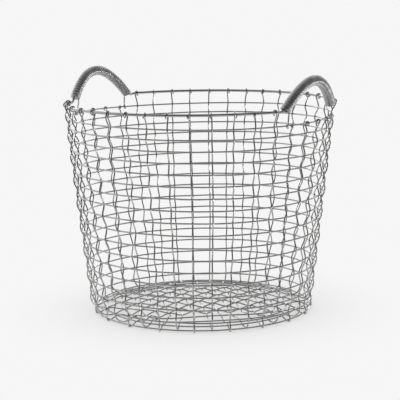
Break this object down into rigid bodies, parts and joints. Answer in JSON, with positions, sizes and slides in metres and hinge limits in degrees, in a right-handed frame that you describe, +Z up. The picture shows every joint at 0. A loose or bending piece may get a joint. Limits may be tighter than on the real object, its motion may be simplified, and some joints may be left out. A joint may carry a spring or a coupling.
{
  "type": "wire carrying basket",
  "caption": "Round tapered basket woven from steel wire, with a domed woven base, a thick rim wire that rises into a carrying arch on each side, and a wire coil wound round each arch as a grip.",
  "frame": {"origin": "on the floor, under the middle of the basket", "axes": "+Z up; +X through the middle of one handle; +Y along the rim between the handles"},
  "size_m": [0.454, 0.4612, 0.4065],
  "materials": {
    "weave_wire": "drawn stainless wire, satin",
    "rim_wire": "thicker drawn stainless wire, satin",
    "grip_coil": "close-wound stainless spring wire, satin"
  },
  "bodies": {
    "root": {"stake_wire_01": "weave_wire", "stake_wire_02": "weave_wire", "stake_wire_03": "weave_wire", "stake_wire_04": "weave_wire", "stake_wire_05": "weave_wire", "stake_wire_06": "weave_wire", "stake_wire_07": "weave_wire", "stake_wire_08": "weave_wire", "stake_wire_09": "weave_wire", "stake_wire_10": "weave_wire", "stake_wire_11": "weave_wire", "stake_wire_12": "weave_wire", "stake_wire_13": "weave_wire", "stake_wire_14": "weave_wire", "stake_wire_15": "weave_wire", "stake_wire_16": "weave_wire", "stake_wire_17": "weave_wire", "stake_wire_18": "weave_wire", "stake_wire_19": "weave_wire", "stake_wire_20": "weave_wire", "wall_hoop_01": "weave_wire", "wall_hoop_02": "weave_wire", "wall_hoop_03": "weave_wire", "wall_hoop_04": "weave_wire", "wall_hoop_05": "weave_wire", "wall_hoop_06": "weave_wire", "wall_hoop_07": "weave_wire", "wall_hoop_08": "weave_wire", "wall_hoop_09": "weave_wire", "wall_hoop_10": "weave_wire", "wall_hoop_11": "weave_wire", "wall_hoop_12": "weave_wire", "wall_hoop_13": "weave_wire", "wall_hoop_14": "weave_wire", "wall_hoop_15": "weave_wire", "wall_hoop_16": "weave_wire", "wall_hoop_17": "weave_wire", "foot_ring": "weave_wire", "base_ring_outer": "weave_wire", "base_ring_middle": "weave_wire", "base_ring_inner": "weave_wire", "rim_wire": "rim_wire", "grip_coil_right": "grip_coil", "grip_coil_left": "grip_coil"}
  },
  "joints": []
}
